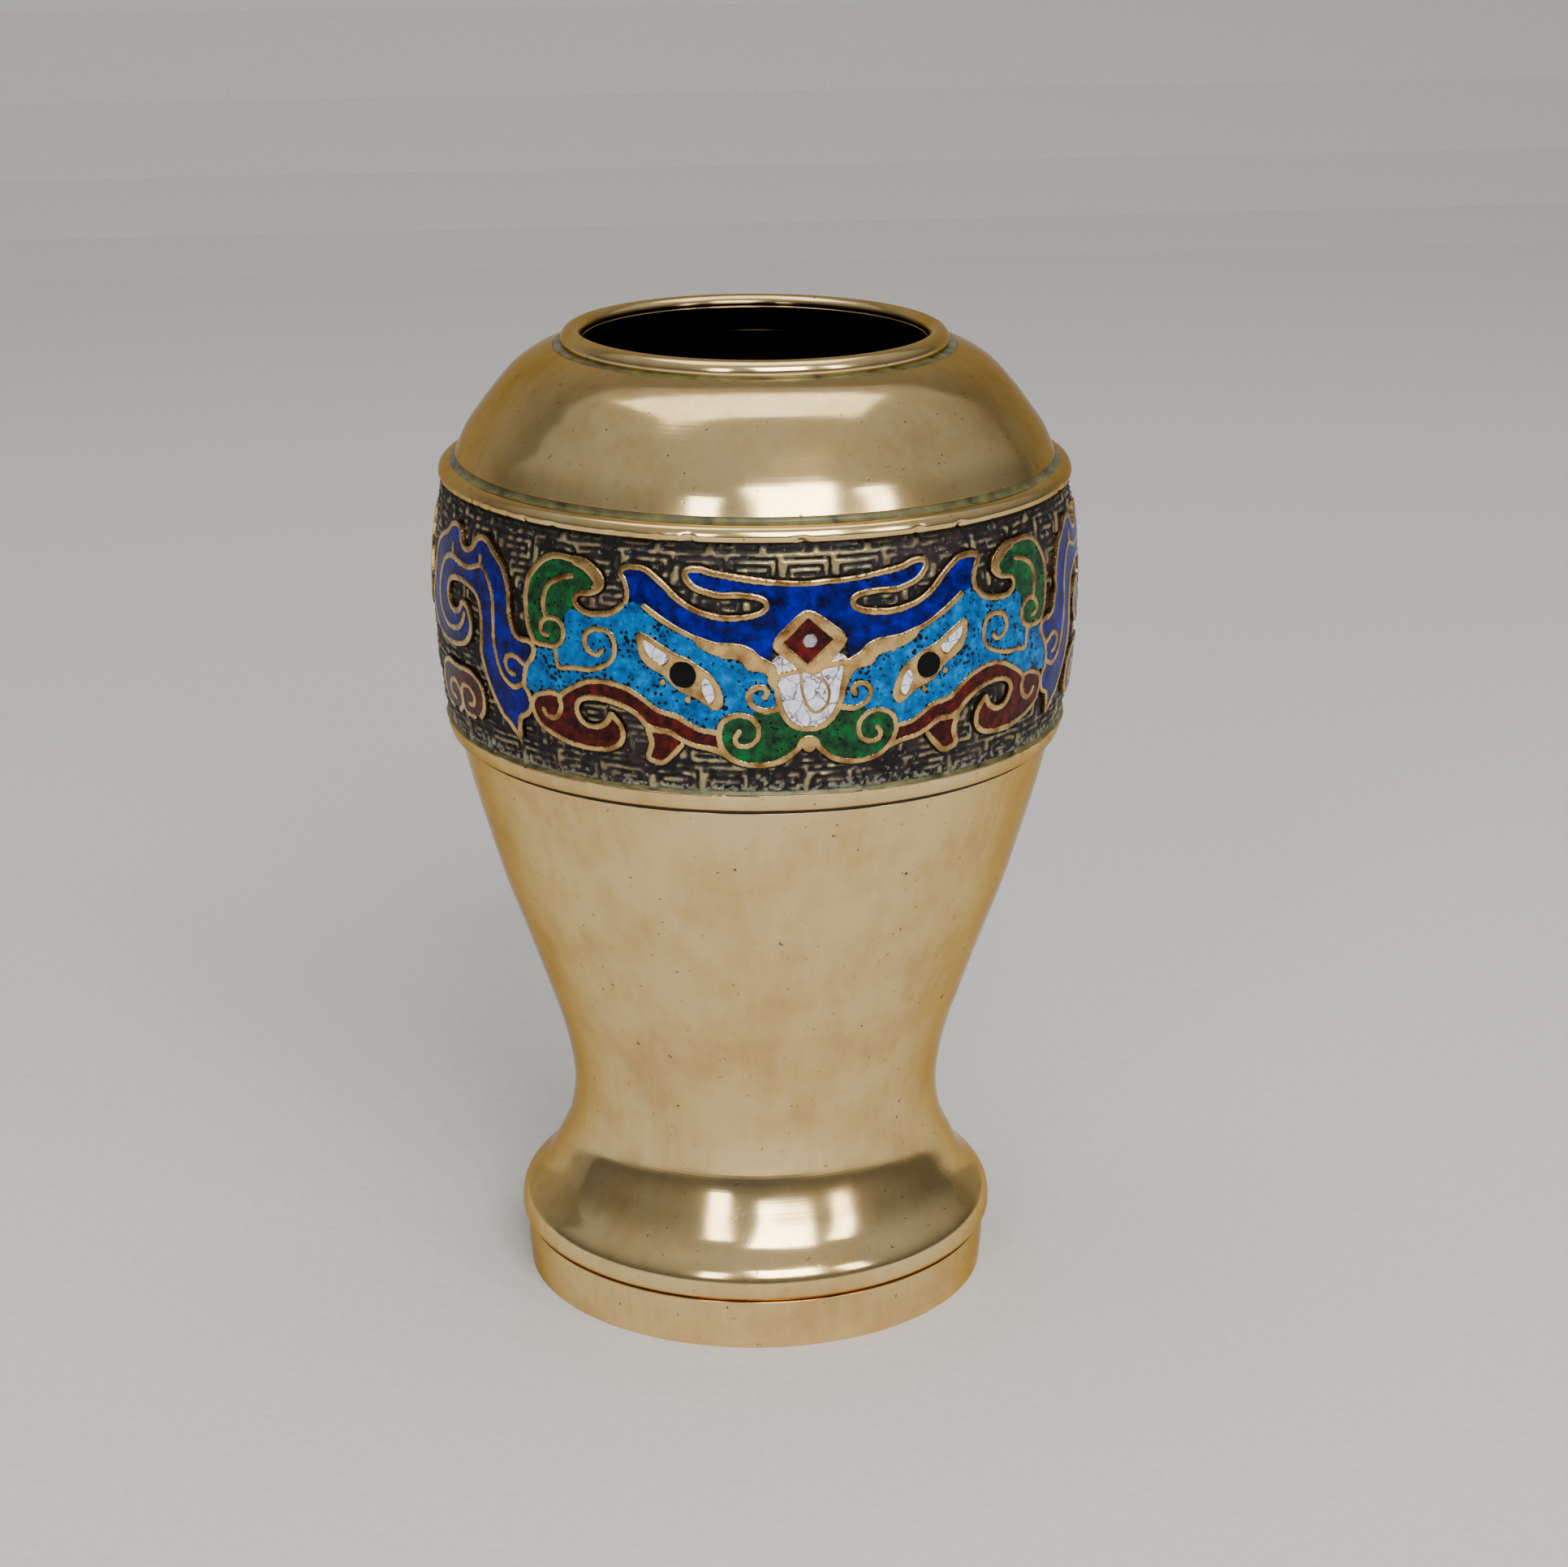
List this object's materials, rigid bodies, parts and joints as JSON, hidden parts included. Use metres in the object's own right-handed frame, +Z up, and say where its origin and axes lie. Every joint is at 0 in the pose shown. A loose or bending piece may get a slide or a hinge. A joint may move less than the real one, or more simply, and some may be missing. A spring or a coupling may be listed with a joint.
{
  "type": "cloisonne vase",
  "caption": "Small waisted brass vase with a rolled lip, a domed shoulder and one band of enamelled animal masks between turned beads.",
  "frame": {"origin": "on the vase's axis, at the underside of the foot ring", "axes": "+Z up along the axis of revolution; -Y is the front, through the middle of the front mask"},
  "size_m": [0.0912, 0.0914, 0.14],
  "materials": {
    "brass": "lathe-turned, polished, lightly worn",
    "cell_brass": "ground flush and polished",
    "patina": "dark patinated key-fret ground",
    "verdigris": "solder with green corrosion",
    "cobalt_enamel": "opaque fired glass, ground and polished",
    "turquoise_enamel": "opaque fired glass, pitted",
    "oxblood_enamel": "opaque fired glass, mottled",
    "green_enamel": "opaque fired glass, mottled",
    "white_enamel": "opaque fired glass, crackled",
    "black_enamel": "opaque fired glass, glossy",
    "grey_enamel": "opaque fired glass"
  },
  "bodies": {
    "root": {"foot_ring": "brass", "base_plate": "brass", "body_casting": "brass", "lower_bead": "brass", "upper_bead": "brass", "shoulder_dome": "brass", "neck_collar": "brass", "rim_roll": "brass", "band_wall": "patina", "lower_seam": "verdigris", "shoulder_seam": "verdigris", "rim_seam": "verdigris", "front_centre_walls": "cell_brass", "front_nose_stroke": "cell_brass", "front_brow_enamel": "cobalt_enamel", "front_nose_enamel": "white_enamel", "front_chin_enamel": "green_enamel", "front_jewel_enamel": "oxblood_enamel", "front_jewel_dot": "grey_enamel", "front_eye_mounts": "cell_brass", "front_eye_whites": "white_enamel", "front_pupils": "black_enamel", "front_tooth_enamel": "oxblood_enamel", "front_cloud_enamel": "oxblood_enamel", "front_left_face_walls": "cell_brass", "front_right_face_walls": "cell_brass", "front_left_face_enamel": "turquoise_enamel", "front_right_face_enamel": "turquoise_enamel", "front_left_jaw_enamel": "oxblood_enamel", "front_right_jaw_enamel": "oxblood_enamel", "front_left_horn_enamel": "green_enamel", "front_right_horn_enamel": "green_enamel", "front_left_dragon_walls": "cell_brass", "front_right_dragon_walls": "cell_brass", "front_left_dragon_enamel": "cobalt_enamel", "front_right_dragon_enamel": "cobalt_enamel", "rear_centre_walls": "cell_brass", "rear_nose_stroke": "cell_brass", "rear_brow_enamel": "cobalt_enamel", "rear_nose_enamel": "white_enamel", "rear_chin_enamel": "green_enamel", "rear_jewel_enamel": "oxblood_enamel", "rear_jewel_dot": "grey_enamel", "rear_eye_mounts": "cell_brass", "rear_eye_whites": "white_enamel", "rear_pupils": "black_enamel", "rear_tooth_enamel": "oxblood_enamel", "rear_cloud_enamel": "oxblood_enamel", "rear_left_face_walls": "cell_brass", "rear_right_face_walls": "cell_brass", "rear_left_face_enamel": "turquoise_enamel", "rear_right_face_enamel": "turquoise_enamel", "rear_left_jaw_enamel": "oxblood_enamel", "rear_right_jaw_enamel": "oxblood_enamel", "rear_left_horn_enamel": "green_enamel", "rear_right_horn_enamel": "green_enamel", "rear_left_dragon_walls": "cell_brass", "rear_right_dragon_walls": "cell_brass", "rear_left_dragon_enamel": "cobalt_enamel", "rear_right_dragon_enamel": "cobalt_enamel"}
  },
  "joints": []
}
